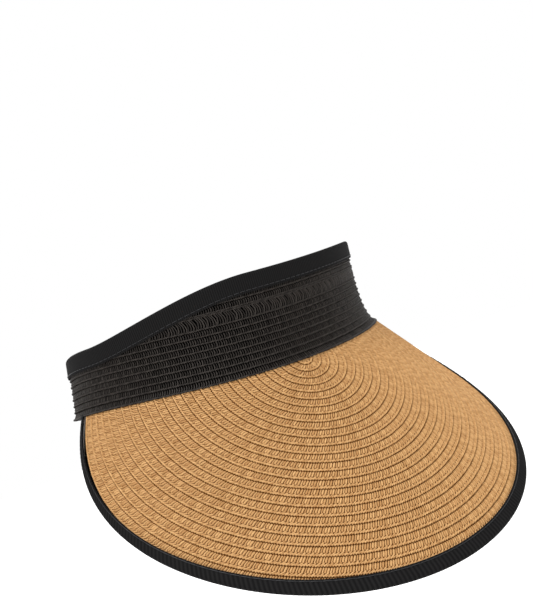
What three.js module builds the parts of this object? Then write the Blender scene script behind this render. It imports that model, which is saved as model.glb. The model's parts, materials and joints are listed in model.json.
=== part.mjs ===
// Wide-brimmed open-crown sun visor: a brim sewn from rows of paper braid, a braid headband,
// and two fabric straps that close behind the head with hook-and-loop patches.
// Millimetres, +Z up, the brim points towards -Y, the wearer's left is +X.
// The origin is the centre of the head opening, level with the front of the band-and-brim seam.
import * as THREE from "three";

// Head opening, measured along the seam between band and brim.
const HALF_WIDTH = 88;
const FRONT_REACH = 79;
const BACK_REACH = 101;
const BACK_FLAT = 27; // half length of the straight stretch where the straps overlap
const FRONT_ARC_END = 112; // degrees from the front where the half ellipse ends
const SIDE_PULL = 33; // Bezier handle where the side leaves the ellipse
const BACK_PULL = 28; // Bezier handle where the side meets the straight back
const SEAM_RISE = 10; // how much higher the seam lies at the sides than at the front

// Brim: a flat sewn disc of braid rows, cut along the seam and curled round the head.
const BRIM_SLOPE = 54.3; // degrees below level, all round the seam
const ROW_PITCH = 4.4;
const BRIM_ROWS = 27;
const NARROWEST_ROW = 1.2; // an outer row ends where the outline trims it to this width
const ROWS_CENTRE = new THREE.Vector2(1.2, 0); // in the flat pattern, from the front of the seam
const OUTLINE_CENTRE = new THREE.Vector2(-1.2, 1.5);
const OUTLINE_RADIUS = 121.2; // outer edge of the binding in the flat pattern
const FIRST_ROW_HOLE = 1.2;
const BRAID_THICKNESS = 1.5;
const BRIM_START = 1; // the braid starts this far below the seam

// Headband.
const BAND_FRONT_HEIGHT = 48.5;
const BAND_SIDE_HEIGHT = 32;
const RIGHT_TAPER = [8, 73]; // degrees from the front where the band gets lower, wearer's right
const LEFT_TAPER = [56, 125]; // and wearer's left: the sewn rows step out sooner on one side
const BAND_PITCH = 3.35;
const BAND_ROWS = 13;
const FLARE = 6; // how far the foot of the band turns out
const FLARE_HEIGHT = 8;
const FRONT_LEAN = -6; // inward lean over LEAN_HEIGHT; negative leans outwards
const SIDE_LEAN = 9;
const SIDE_START = 50; // degrees from the front where the front's profile gives way to the side's
const SIDE_END = 110;
const LEAN_HEIGHT = 50;

// Tapes and ribbons.
const GAP = 0.3;
const LAYER_GAP = 0.4;
const TAPE_THICKNESS = 0.6;
const TOP_TAPE_REACH = 8;
const EDGE_TAPE_REACH = 4.4;
const END_TAPE_REACH = 8;
const SWEATBAND_THICKNESS = 0.7;
const SWEATBAND_HEIGHT = 24;
const CORD_RADIUS = 0.6;

// Wings, straps and closure, along the opening from the front.
const TEMPLE_ANGLE = 100; // degrees from the front, behind the brim's rear corners
const TEMPLE_GAP = 0.8;
const WING_LENGTH = 44;
const STRAP_THICKNESS = 1.6;
const STRAP_GAP = 1.6; // between the end of the wing and the sewn end of the strap
const STRAP_FOOT = 1;
const LEFT_STRAP_HEIGHT = 30;
const RIGHT_STRAP_HEIGHT = 25.5;
const LEFT_OFFSET = 1.2; // inner face of the outer strap from the opening's line, at the back
const RIGHT_OFFSET = -3.1; // inner face of the inner strap
const TAB_HALF_LAP = 20;
const TAB_HINGE = 22;
const TAB_CORNER = 7;
const PATCH_THICKNESS = 0.9;
const PATCH_FOOT = 5;
const PATCH_HEIGHT = 18;
const HOOK_SPAN = [-17, 18]; // across the back, towards +X
const LOOP_SPAN = [-24, 17];

const STEP = 8; // usual spacing of stations along a strip
const SEARCH_STEPS = 40; // halvings of the interval in each search
const rad = THREE.MathUtils.degToRad;
const lerp = THREE.MathUtils.lerp;

const cloth = (color, roughness) =>
  new THREE.MeshStandardMaterial({ color, roughness, metalness: 0 });
const tanBraid = cloth(0xcda069, 0.75);
const blackBraid = cloth(0x2a2725, 0.55);
const grosgrain = cloth(0x17171a, 0.7);
const ribbon = cloth(0x121214, 0.75);
const strapCloth = cloth(0x141416, 0.85);
const patchNylon = cloth(0x101012, 0.6);
const boning = cloth(0x2b2b2d, 0.4);

// The opening's outline from front to back on the +X side, run through by arc length.
const frontEnd = rad(FRONT_ARC_END);
const sideX = HALF_WIDTH * Math.sin(frontEnd);
const sideY = -FRONT_REACH * Math.cos(frontEnd);
const sideDirection = new THREE.Vector2(
  HALF_WIDTH * Math.cos(frontEnd),
  FRONT_REACH * Math.sin(frontEnd),
).normalize();
const outline = new THREE.CurvePath();
outline.add(new THREE.EllipseCurve(0, 0, HALF_WIDTH, FRONT_REACH, -Math.PI / 2, frontEnd - Math.PI / 2));
outline.add(
  new THREE.CubicBezierCurve(
    new THREE.Vector2(sideX, sideY),
    new THREE.Vector2(sideX + SIDE_PULL * sideDirection.x, sideY + SIDE_PULL * sideDirection.y),
    new THREE.Vector2(BACK_FLAT + BACK_PULL, BACK_REACH),
    new THREE.Vector2(BACK_FLAT, BACK_REACH),
  ),
);
const bentLength = outline.getLength();
const halfLength = bentLength + BACK_FLAT;

// Angle from the front, in radians, of a place on the opening, 0 to pi on the +X side.
const turnOf = (x, y) => Math.atan2(x / HALF_WIDTH, -y / FRONT_REACH);

// A place on the opening: s runs from the front, positive towards +X, and past the middle of
// the back it carries on along the straight stretch. turn is the angle from the front.
function seamAt(s) {
  const along = Math.abs(s);
  const side = Math.sign(s) || 1;
  let x, y, nx, ny;
  if (along >= bentLength) {
    [x, y, nx, ny] = [halfLength - along, BACK_REACH, 0, 1];
  } else {
    const place = outline.getPoint(along / bentLength);
    const ahead = outline.getPoint(Math.min(1, along / bentLength + 1e-4));
    const behind = outline.getPoint(Math.max(0, along / bentLength - 1e-4));
    const tangent = ahead.sub(behind).normalize();
    [x, y, nx, ny] = [place.x, place.y, tangent.y, -tangent.x];
  }
  const turn = Math.abs(turnOf(x, y));
  const rise = SEAM_RISE * Math.sin(Math.min(turn, Math.PI / 2)) ** 2;
  return { x: side * x, y, z: rise, nx: side * nx, ny, turn, s };
}

// Arc length from the front to an angle on the +X side.
function lengthTo(angle) {
  let low = 0;
  let high = bentLength;
  for (let i = 0; i < SEARCH_STEPS; i++) {
    const middle = (low + high) / 2;
    if (seamAt(middle).turn < angle) low = middle;
    else high = middle;
  }
  return low;
}
const templeLength = lengthTo(rad(TEMPLE_ANGLE));
const wingEnd = templeLength + WING_LENGTH;
const strapStart = wingEnd + STRAP_GAP;
const flatStart = halfLength - BACK_FLAT;

const smooth = (t) => THREE.MathUtils.smoothstep(t, 0, 1);

const deg = THREE.MathUtils.radToDeg;

function bandHeight(s) {
  const [start, end] = s > 0 ? LEFT_TAPER : RIGHT_TAPER;
  const t = (deg(seamAt(s).turn) - start) / (end - start);
  return lerp(BAND_FRONT_HEIGHT, BAND_SIDE_HEIGHT, smooth(t));
}

// A point on the band, height above the seam and out from its outer braid's inner face.
function bandPoint(s, height, out) {
  const seam = seamAt(s);
  const sideways = smooth((deg(seam.turn) - SIDE_START) / (SIDE_END - SIDE_START));
  const upright = smooth((Math.abs(s) - wingEnd) / (flatStart - wingEnd));
  const lean = lerp(FRONT_LEAN, SIDE_LEAN, sideways) * (1 - upright);
  const flare = FLARE * (1 - Math.exp(-Math.max(0, height) / FLARE_HEIGHT)) * (1 - sideways);
  const offset = out - flare - (lean * height) / LEAN_HEIGHT;
  return new THREE.Vector3(seam.x + seam.nx * offset, seam.y + seam.ny * offset, seam.z + height);
}

// Evenly spaced stations from one value to another, about `step` apart.
function stations(from, to, step = STEP) {
  const count = Math.max(1, Math.round(Math.abs(to - from) / step));
  return Array.from({ length: count + 1 }, (_, i) => lerp(from, to, i / count));
}

// A closed strip: a box whose corners are moved by place(u, v, w), with u and v from the
// station lists and w from 0 to 1 through the thickness.
function strip(along, across, place) {
  const geometry = new THREE.BoxGeometry(1, 1, 1, along.length - 1, across.length - 1, 1);
  const position = geometry.getAttribute("position");
  for (let i = 0; i < position.count; i++) {
    const u = along[Math.round((position.getX(i) + 0.5) * (along.length - 1))];
    const v = across[Math.round((position.getY(i) + 0.5) * (across.length - 1))];
    const spot = place(u, v, position.getZ(i) + 0.5);
    position.setXYZ(i, spot.x, spot.y, spot.z);
  }
  geometry.computeVertexNormals();
  return geometry;
}

const visor = new THREE.Group();
function addPiece(name, geometry, material) {
  const mesh = new THREE.Mesh(geometry, material);
  mesh.name = name;
  visor.add(mesh);
}

// Tape folded round an edge: v from 0 to 1 runs up the outer leg, over the edge and down the
// inner leg. Gives the distance out of the fold's middle and past its centre.
const FOLD_STEPS = 6;
function fold(v, w, reach, inside) {
  const radius = inside + w * TAPE_THICKNESS;
  const leg = 1 / FOLD_STEPS;
  if (v <= leg) return { out: radius, past: reach * (v / leg - 1) };
  if (v >= 1 - leg) return { out: -radius, past: reach * ((1 - v) / leg - 1) };
  const angle = (Math.PI * (v - leg)) / (1 - 2 * leg);
  return { out: radius * Math.cos(angle), past: radius * Math.sin(angle) };
}
const foldStations = stations(0, 1, 1 / FOLD_STEPS);
const topTapeInside = BRAID_THICKNESS / 2 + LAYER_GAP;
const braidTop = (s) => bandHeight(s) - topTapeInside - TAPE_THICKNESS;

// ---- Brim: the flat pattern --------------------------------------------------------------
// The seam in the flat pattern, one entry for each small step of arc length on one side:
// turning angle and position, integrated from the curvature that the curled brim keeps.
const PATTERN_STEP = 0.5;
const slope = rad(BRIM_SLOPE);
const pattern = [{ angle: 0, x: 0, y: 0 }];
for (let i = 1; i * PATTERN_STEP < templeLength; i++) {
  const { turn } = seamAt((i - 0.5) * PATTERN_STEP);
  const speed = Math.hypot(HALF_WIDTH * Math.cos(turn), FRONT_REACH * Math.sin(turn));
  const level = (HALF_WIDTH * FRONT_REACH) / speed ** 3;
  const saddle = (2 * SEAM_RISE * Math.cos(2 * turn)) / speed ** 2;
  const bend = (level * Math.cos(slope) + saddle * Math.sin(slope)) * PATTERN_STEP;
  const last = pattern[i - 1];
  const middle = last.angle + bend / 2;
  pattern.push({
    angle: last.angle + bend,
    x: last.x + PATTERN_STEP * Math.cos(middle),
    y: last.y + PATTERN_STEP * Math.sin(middle),
  });
}

// Position and outward direction of the seam in the flat pattern.
function patternAt(s) {
  const at = Math.min(Math.abs(s) / PATTERN_STEP, pattern.length - 1.001);
  const i = Math.floor(at);
  const [a, b] = [pattern[i], pattern[i + 1]];
  const angle = lerp(a.angle, b.angle, at - i);
  const side = Math.sign(s) || 1;
  return {
    spot: new THREE.Vector2(side * lerp(a.x, b.x, at - i), lerp(a.y, b.y, at - i)),
    out: new THREE.Vector2(side * Math.sin(angle), -Math.cos(angle)),
  };
}

// Distance down the brim from the seam at s to the circle of this radius about a centre.
function downTo(s, radius, centre) {
  const { spot, out } = patternAt(s);
  const from = spot.sub(centre);
  const along = from.dot(out);
  return Math.sqrt(Math.max(0, along ** 2 - from.lengthSq() + radius ** 2)) - along;
}

// The seam station where a circle of the pattern runs into the seam, on one side.
const meetings = new Map();
function meetsSeam(radius, centre, side) {
  const key = [radius, centre.x, side].join();
  if (meetings.has(key)) return meetings.get(key);
  let inside = centre.x;
  let beyond = side * (templeLength - TEMPLE_GAP);
  for (let i = 0; i < SEARCH_STEPS; i++) {
    const middle = (inside + beyond) / 2;
    const { spot, out } = patternAt(middle);
    if (spot.addScaledVector(out, BRIM_START).distanceTo(centre) < radius) inside = middle;
    else beyond = middle;
  }
  meetings.set(key, inside);
  return inside;
}

function brimPoint(s, down, out) {
  const seam = seamAt(s);
  const level = down * Math.cos(slope) + out * Math.sin(slope);
  const drop = down * Math.sin(slope) - out * Math.cos(slope);
  return new THREE.Vector3(seam.x + seam.nx * level, seam.y + seam.ny * level, seam.z - drop);
}

// A point on a circle of the pattern, u from 0 at the wearer's right to 1 at the left.
function onCircle(u, radius, centre, out) {
  const s = lerp(meetsSeam(radius, centre, -1), meetsSeam(radius, centre, 1), u);
  return brimPoint(s, downTo(s, radius, centre), out);
}
const evenly = (count) => stations(0, 1, 1 / count);

const edgeInside = BRAID_THICKNESS / 2 + GAP;
const edgeCentre = OUTLINE_RADIUS - edgeInside - TAPE_THICKNESS; // where the edge tape's fold starts
const brimEdge = edgeCentre - CORD_RADIUS - 2 * GAP;

// Where a row that starts at this radius ends on one side: at the seam, or where the brim's
// outline trims it away.
function rowEnd(inner, radius, side) {
  const ownMeeting = side * meetsSeam(radius, ROWS_CENTRE, side);
  const atSeam = side * Math.min(ownMeeting, side * meetsSeam(brimEdge, OUTLINE_CENTRE, side));
  const width = (s) => downTo(s, brimEdge, OUTLINE_CENTRE) - downTo(s, inner, ROWS_CENTRE);
  if (width(meetsSeam(inner, ROWS_CENTRE, side)) >= NARROWEST_ROW) return atSeam;
  let whole = ROWS_CENTRE.x;
  let gone = meetsSeam(inner, ROWS_CENTRE, side);
  for (let i = 0; i < SEARCH_STEPS; i++) {
    const middle = (whole + gone) / 2;
    if (width(middle) >= NARROWEST_ROW) whole = middle;
    else gone = middle;
  }
  return whole;
}

for (let row = 1; row <= BRIM_ROWS; row++) {
  const inner = row === 1 ? FIRST_ROW_HOLE : (row - 1) * ROW_PITCH + GAP;
  const outer = row * ROW_PITCH;
  const ends = [inner, outer].map((radius) => [-1, 1].map((side) => rowEnd(inner, radius, side)));
  const segments = Math.round(lerp(6, 40, row / BRIM_ROWS));
  const geometry = strip(evenly(segments), [1, 0], (u, v, w) => {
    const s = lerp(...ends[v], u);
    const down = Math.min(
      downTo(s, v === 1 ? outer : inner, ROWS_CENTRE),
      downTo(s, brimEdge, OUTLINE_CENTRE),
    );
    return brimPoint(s, down, w * BRAID_THICKNESS);
  });
  addPiece(`brim_row_${String(row).padStart(2, "0")}`, geometry, tanBraid);
}

const EDGE_SEGMENTS = 44;
addPiece(
  "brim_edge_binding",
  strip(evenly(EDGE_SEGMENTS), foldStations, (u, v, w) => {
    const { out, past } = fold(1 - v, w, EDGE_TAPE_REACH, edgeInside);
    return onCircle(u, edgeCentre + past, OUTLINE_CENTRE, BRAID_THICKNESS / 2 + out);
  }),
  grosgrain,
);

const cordRoute = new THREE.CatmullRomCurve3(
  evenly(EDGE_SEGMENTS).map((u) => onCircle(u, edgeCentre, OUTLINE_CENTRE, BRAID_THICKNESS / 2)),
);
const cordSection = new THREE.Shape().absarc(0, 0, CORD_RADIUS, 0, 2 * Math.PI);
addPiece(
  "brim_edge_cord",
  new THREE.ExtrudeGeometry(cordSection, {
    steps: EDGE_SEGMENTS,
    curveSegments: 2,
    extrudePath: cordRoute,
  }),
  boning,
);

// ---- Headband: front, then a wing on each side ---------------------------------------------
// Last station on one side where the band is tall enough for a row that starts at this height.
function rowReach(foot, side) {
  const farthest = templeLength - TEMPLE_GAP;
  for (let along = 0; along < farthest; along += 1) {
    if (braidTop(side * along) < foot + BAND_PITCH / 3) return side * along;
  }
  return side * farthest;
}

for (let row = 0; row < BAND_ROWS; row++) {
  const foot = row * BAND_PITCH + GAP;
  const geometry = strip(stations(rowReach(foot, -1), rowReach(foot, 1)), [0, 1], (s, v, w) => {
    const head = Math.min((row + 1) * BAND_PITCH, braidTop(s));
    return bandPoint(s, lerp(foot, head, v), w * BRAID_THICKNESS);
  });
  addPiece(`band_row_${String(row + 1).padStart(2, "0")}`, geometry, blackBraid);
}

function topTape(from, to) {
  return strip(stations(from, to), foldStations, (s, v, w) => {
    const { out, past } = fold(v, w, TOP_TAPE_REACH, topTapeInside);
    return bandPoint(s, braidTop(s) + past, BRAID_THICKNESS / 2 + out);
  });
}

// The sweatband bends at the edges of the braid rows that it lines, so it stays clear of them.
const SWEATBAND_ROWS = [0, 1, 2, 3, 4, 6, Infinity];
function sweatband(from, to) {
  return strip(stations(from, to), SWEATBAND_ROWS, (s, row, w) => {
    const head = Math.min(SWEATBAND_HEIGHT, braidTop(s) - TOP_TAPE_REACH - GAP);
    const height = Math.min(head, Math.max(GAP, row * BAND_PITCH));
    const out = -LAYER_GAP - (1 - w) * SWEATBAND_THICKNESS;
    return bandPoint(s, height, out);
  });
}

const frontEdge = templeLength - TEMPLE_GAP;
const wingFront = templeLength + TEMPLE_GAP;
const endTapeInside = (BRAID_THICKNESS + LAYER_GAP + SWEATBAND_THICKNESS) / 2 + LAYER_GAP;
const endTapeMiddle = (BRAID_THICKNESS - LAYER_GAP - SWEATBAND_THICKNESS) / 2;
const endFold = wingEnd - endTapeInside - TAPE_THICKNESS; // the braid ends inside this fold
const wingTapeEnd = endFold - END_TAPE_REACH - 2 * GAP;
addPiece("front_top_binding", topTape(-frontEdge, frontEdge), grosgrain);
addPiece("front_sweatband", sweatband(-frontEdge, frontEdge), ribbon);

for (const [side, name] of [[1, "left"], [-1, "right"]]) {
  const span = (from, to) => (side > 0 ? [from, to] : [-to, -from]);
  const braid = strip(stations(...span(wingFront, endFold)), [0, 1], (s, v, w) =>
    bandPoint(s, lerp(GAP, braidTop(s), v), w * BRAID_THICKNESS),
  );
  addPiece(`${name}_wing_braid`, braid, blackBraid);
  addPiece(`${name}_wing_top_binding`, topTape(...span(wingFront, wingTapeEnd)), grosgrain);
  addPiece(`${name}_wing_sweatband`, sweatband(...span(wingFront, endFold)), ribbon);
  const endTape = strip(foldStations, [0, 1], (u, v, w) => {
    const { out, past } = fold(side > 0 ? u : 1 - u, w, END_TAPE_REACH, endTapeInside);
    const s = side * (endFold + past);
    return bandPoint(s, lerp(GAP, bandHeight(s), v), endTapeMiddle + out);
  });
  addPiece(`${name}_wing_end_tape`, endTape, strapCloth);
}

// ---- Straps and closure --------------------------------------------------------------------
// Offset of a strap's inner face: level with the braid at the wing, at `offset` by the back.
const easeOut = (s, offset) =>
  offset * smooth((Math.abs(s) - strapStart) / (flatStart - 2 - strapStart));

// How much the rounded corners of a strap's free end take off its top and foot.
function cornerCut(toEnd) {
  const into = Math.max(0, TAB_CORNER - toEnd);
  return TAB_CORNER - Math.sqrt(TAB_CORNER ** 2 - into ** 2);
}
// Stations towards a rounded end, closer together in the corners.
const roundedEnd = [7, 4, 2, 0.9, 0.3, 0];

function strap(along, height, offset, end) {
  return strip(along, [0, 1], (s, v, w) => {
    const cut = end === undefined ? 0 : cornerCut(Math.abs(end - s));
    const rise = lerp(STRAP_FOOT + cut, STRAP_FOOT + height - cut, v);
    return bandPoint(s, rise, easeOut(s, offset) + w * STRAP_THICKNESS);
  });
}

const hingeStation = halfLength - TAB_HINGE;
const lapEnd = halfLength + TAB_HALF_LAP;
addPiece(
  "left_strap",
  strap(stations(strapStart, hingeStation - GAP / 2), LEFT_STRAP_HEIGHT, LEFT_OFFSET),
  strapCloth,
);
addPiece(
  "left_strap_tab",
  strap(
    [...stations(hingeStation + GAP / 2, lapEnd - TAB_CORNER - STEP), ...roundedEnd.map((d) => lapEnd - d)],
    LEFT_STRAP_HEIGHT,
    LEFT_OFFSET,
    lapEnd,
  ),
  strapCloth,
);
addPiece(
  "right_strap",
  strap(
    [
      ...roundedEnd.map((d) => d - lapEnd).reverse(),
      ...stations(TAB_CORNER + STEP - lapEnd, -strapStart),
    ],
    RIGHT_STRAP_HEIGHT,
    RIGHT_OFFSET,
    -lapEnd,
  ),
  strapCloth,
);

// Patches lie on the straight back, so they are flat plates given across the back in +X.
function patch([from, to], inner) {
  const x = (from + to) / 2;
  const y = BACK_REACH + inner + PATCH_THICKNESS / 2;
  const z = SEAM_RISE + PATCH_FOOT + PATCH_HEIGHT / 2;
  return new THREE.BoxGeometry(to - from, PATCH_THICKNESS, PATCH_HEIGHT).translate(x, y, z);
}
addPiece("hook_patch", patch(HOOK_SPAN, LEFT_OFFSET - GAP - PATCH_THICKNESS), patchNylon);
addPiece("loop_patch", patch(LOOP_SPAN, RIGHT_OFFSET + STRAP_THICKNESS + GAP), patchNylon);

export default visor;
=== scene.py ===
"""Wide-brimmed sun visor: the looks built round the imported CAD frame.

Every length here is in millimetres until a mesh is finished, and metres afterwards.
The brim and the headband repeat the CAD part's own driving dimensions, so a strand of
braid lies where the part's row lies.
"""

import json
import logging
import math
from collections.abc import Callable, Sequence
from dataclasses import dataclass, field
from enum import Enum

import bmesh
import bpy
import numpy as np
from mathutils import Matrix, Vector
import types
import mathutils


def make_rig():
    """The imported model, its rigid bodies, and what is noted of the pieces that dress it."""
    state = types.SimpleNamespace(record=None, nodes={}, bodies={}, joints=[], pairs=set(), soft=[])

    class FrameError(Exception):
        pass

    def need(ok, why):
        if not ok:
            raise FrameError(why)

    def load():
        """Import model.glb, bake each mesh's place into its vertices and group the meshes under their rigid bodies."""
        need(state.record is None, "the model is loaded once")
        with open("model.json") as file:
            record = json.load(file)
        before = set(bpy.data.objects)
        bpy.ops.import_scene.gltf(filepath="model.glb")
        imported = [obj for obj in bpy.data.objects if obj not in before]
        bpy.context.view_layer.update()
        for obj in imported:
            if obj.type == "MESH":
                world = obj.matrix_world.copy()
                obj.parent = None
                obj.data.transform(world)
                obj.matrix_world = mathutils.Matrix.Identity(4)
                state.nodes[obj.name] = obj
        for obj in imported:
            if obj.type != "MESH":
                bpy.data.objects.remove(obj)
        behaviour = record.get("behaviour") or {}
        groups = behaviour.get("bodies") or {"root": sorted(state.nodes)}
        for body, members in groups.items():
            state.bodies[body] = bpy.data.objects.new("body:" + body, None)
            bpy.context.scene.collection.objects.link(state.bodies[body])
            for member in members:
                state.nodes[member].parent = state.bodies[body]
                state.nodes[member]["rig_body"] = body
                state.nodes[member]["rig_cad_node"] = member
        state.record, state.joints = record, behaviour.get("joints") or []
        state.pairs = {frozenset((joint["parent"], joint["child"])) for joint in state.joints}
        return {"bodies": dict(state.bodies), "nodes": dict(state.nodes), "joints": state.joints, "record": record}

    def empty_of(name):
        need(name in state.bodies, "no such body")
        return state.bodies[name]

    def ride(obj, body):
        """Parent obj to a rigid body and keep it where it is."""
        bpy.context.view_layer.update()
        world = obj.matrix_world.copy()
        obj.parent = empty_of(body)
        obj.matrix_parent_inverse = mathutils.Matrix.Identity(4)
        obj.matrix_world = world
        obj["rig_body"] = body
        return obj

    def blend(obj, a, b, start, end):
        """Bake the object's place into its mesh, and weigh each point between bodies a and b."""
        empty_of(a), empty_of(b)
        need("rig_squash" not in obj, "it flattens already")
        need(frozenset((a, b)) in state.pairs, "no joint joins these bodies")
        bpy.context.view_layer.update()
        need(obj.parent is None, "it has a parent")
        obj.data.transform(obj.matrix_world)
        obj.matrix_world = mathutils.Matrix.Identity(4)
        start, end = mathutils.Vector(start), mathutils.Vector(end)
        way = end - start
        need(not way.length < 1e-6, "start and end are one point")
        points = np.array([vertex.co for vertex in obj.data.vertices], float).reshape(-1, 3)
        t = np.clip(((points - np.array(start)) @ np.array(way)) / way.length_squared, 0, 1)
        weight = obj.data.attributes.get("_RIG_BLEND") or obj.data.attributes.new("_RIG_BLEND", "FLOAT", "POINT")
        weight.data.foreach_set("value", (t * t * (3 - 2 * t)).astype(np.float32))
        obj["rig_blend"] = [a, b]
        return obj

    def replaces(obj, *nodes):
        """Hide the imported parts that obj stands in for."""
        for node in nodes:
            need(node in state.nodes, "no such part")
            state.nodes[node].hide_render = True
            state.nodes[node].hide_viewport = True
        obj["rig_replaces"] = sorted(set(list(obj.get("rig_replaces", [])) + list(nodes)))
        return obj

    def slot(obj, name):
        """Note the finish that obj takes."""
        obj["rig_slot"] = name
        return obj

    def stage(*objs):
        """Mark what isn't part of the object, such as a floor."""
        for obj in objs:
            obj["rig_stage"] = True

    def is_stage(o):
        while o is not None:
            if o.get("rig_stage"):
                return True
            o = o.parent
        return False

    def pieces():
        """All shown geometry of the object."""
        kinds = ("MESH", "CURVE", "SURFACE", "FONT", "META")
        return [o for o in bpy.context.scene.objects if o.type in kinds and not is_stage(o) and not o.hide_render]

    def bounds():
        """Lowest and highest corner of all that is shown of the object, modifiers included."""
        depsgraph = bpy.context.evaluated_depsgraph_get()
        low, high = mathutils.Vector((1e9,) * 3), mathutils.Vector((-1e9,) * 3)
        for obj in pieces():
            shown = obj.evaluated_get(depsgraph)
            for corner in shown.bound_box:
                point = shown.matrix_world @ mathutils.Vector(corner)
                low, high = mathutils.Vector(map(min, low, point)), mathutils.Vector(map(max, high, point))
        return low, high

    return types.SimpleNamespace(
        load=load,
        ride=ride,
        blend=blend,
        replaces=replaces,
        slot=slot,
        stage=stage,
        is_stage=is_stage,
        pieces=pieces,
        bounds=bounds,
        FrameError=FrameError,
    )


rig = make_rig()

log = logging.getLogger("sun_visor")

MM = 0.001
GAP = 0.3
STRAND_SECTION = ((-0.5, 0.0), (-0.27, 1.0), (0.27, 1.0), (0.5, 0.0))
SHADE_STEP = 0.382
Place = Callable[[np.ndarray, np.ndarray, np.ndarray], np.ndarray]


def smooth(t: np.ndarray | float) -> np.ndarray:
    """Ease a value from 0 to 1, flat at both ends."""
    t = np.clip(t, 0.0, 1.0)
    return t * t * (3 - 2 * t)


def lerp(a: float, b: float, t: np.ndarray | float) -> np.ndarray:
    """The value a share t of the way from a to b."""
    return a + (b - a) * t


# ---- The head opening, the band and the brim as surfaces -----------------------------------


@dataclass
class HeadOpening:
    """The outline where band and brim meet, run through by arc length from the front."""

    half_width: float = 88.0
    front_reach: float = 79.0
    back_reach: float = 101.0
    back_flat: float = 27.0
    front_arc_end: float = math.radians(112)
    side_pull: float = 33.0
    back_pull: float = 28.0
    seam_rise: float = 10.0
    samples: int = 4000

    def __post_init__(self) -> None:
        """Sample the half outline and measure along it."""
        angle = np.linspace(0, self.front_arc_end, self.samples)
        front = np.stack([self.half_width * np.sin(angle), -self.front_reach * np.cos(angle)], 1)
        leaving = np.array([
            self.half_width * math.cos(self.front_arc_end),
            self.front_reach * math.sin(self.front_arc_end),
        ])
        leaving /= np.linalg.norm(leaving)
        handles = np.array([
            front[-1],
            front[-1] + self.side_pull * leaving,
            [self.back_flat + self.back_pull, self.back_reach],
            [self.back_flat, self.back_reach],
        ])
        t = np.linspace(0, 1, self.samples)[1:, None]
        weights = np.hstack([(1 - t) ** 3, 3 * t * (1 - t) ** 2, 3 * t * t * (1 - t), t**3])
        self.path = np.vstack([front, weights @ handles])
        steps = np.linalg.norm(np.diff(self.path, axis=0), axis=1)
        self.along = np.concatenate([[0], np.cumsum(steps)])
        tangent = np.gradient(self.path, self.along, axis=0)
        tangent /= np.linalg.norm(tangent, axis=1)[:, None]
        self.normals = np.stack([tangent[:, 1], -tangent[:, 0]], 1)
        self.bent_length = float(self.along[-1])
        self.half_length = self.bent_length + self.back_flat

    def length_to(self, angle: float) -> float:
        """Arc length from the front to an angle in radians."""
        turn = np.arctan2(self.path[:, 0] / self.half_width, -self.path[:, 1] / self.front_reach)
        return float(np.interp(angle, turn, self.along))

    def seam(self, s: np.ndarray) -> tuple[np.ndarray, np.ndarray, np.ndarray, np.ndarray]:
        """Where the seam lies.

        Args:
            s: Arc lengths from the front, positive towards the wearer's left.

        Returns:
            The plan positions, the plan normals, the heights and the angles from the front.
        """
        along = np.abs(s)
        side = np.where(s < 0, -1.0, 1.0)
        straight = along >= self.bent_length
        spot = np.stack([np.interp(along, self.along, self.path[:, i]) for i in (0, 1)], -1)
        spot[straight, 0] = self.half_length - along[straight]
        normal = np.stack([np.interp(along, self.along, self.normals[:, i]) for i in (0, 1)], -1)
        normal[straight] = (0, 1)
        turn = np.abs(np.arctan2(spot[:, 0] / self.half_width, -spot[:, 1] / self.front_reach))
        rise = self.seam_rise * np.sin(np.minimum(turn, math.pi / 2)) ** 2
        mirror = np.stack([side, np.ones_like(side)], -1)
        return spot * mirror, normal * mirror, rise, turn


@dataclass
class BandShape:
    """The headband's surface: a wall above the seam that leans, flares and gets lower."""

    opening: HeadOpening = field(default_factory=HeadOpening)
    front_height: float = 48.5
    side_height: float = 32.0
    right_taper: tuple[float, float] = (8.0, 73.0)
    left_taper: tuple[float, float] = (56.0, 125.0)
    flare: float = 6.0
    flare_height: float = 8.0
    front_lean: float = -6.0
    side_lean: float = 9.0
    side_start: float = 50.0
    side_end: float = 110.0
    lean_height: float = 50.0
    temple_angle: float = math.radians(100)
    wing_length: float = 44.0
    braid: float = 1.5
    layer_gap: float = 0.4
    tape: float = 0.6

    def __post_init__(self) -> None:
        """Work out the stations along the band."""
        self.temple = self.opening.length_to(self.temple_angle)
        self.wing_end = self.temple + self.wing_length
        self.flat_start = self.opening.bent_length
        self.tape_inside = self.braid / 2 + self.layer_gap

    def height(self, s: np.ndarray) -> np.ndarray:
        """Height of the bound top edge above the seam."""
        turn = np.degrees(self.opening.seam(s)[3])
        start = np.where(s > 0, self.left_taper[0], self.right_taper[0])
        end = np.where(s > 0, self.left_taper[1], self.right_taper[1])
        return lerp(self.front_height, self.side_height, smooth((turn - start) / (end - start)))

    def braid_top(self, s: np.ndarray) -> np.ndarray:
        """Height where the braid ends inside the top binding."""
        return self.height(s) - self.tape_inside - self.tape

    def point(self, s: np.ndarray, height: np.ndarray, out: np.ndarray) -> np.ndarray:
        """Points on the band, this far above the seam and out from the braid's inner face."""
        spot, normal, rise, turn = self.opening.seam(s)
        sideways = smooth((np.degrees(turn) - self.side_start) / (self.side_end - self.side_start))
        upright = smooth((np.abs(s) - self.wing_end) / (self.flat_start - self.wing_end))
        lean = lerp(self.front_lean, self.side_lean, sideways) * (1 - upright)
        flare = self.flare * (1 - np.exp(-np.maximum(0, height) / self.flare_height)) * (1 - sideways)
        offset = out - flare - lean * height / self.lean_height
        return np.column_stack([spot + normal * offset[:, None], rise + height])

    def seam_spot(self, s: float) -> tuple[float, float, float]:
        """A point on the seam, in metres."""
        return tuple(self.point(np.array([s]), np.zeros(1), np.zeros(1))[0] * MM)


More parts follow.
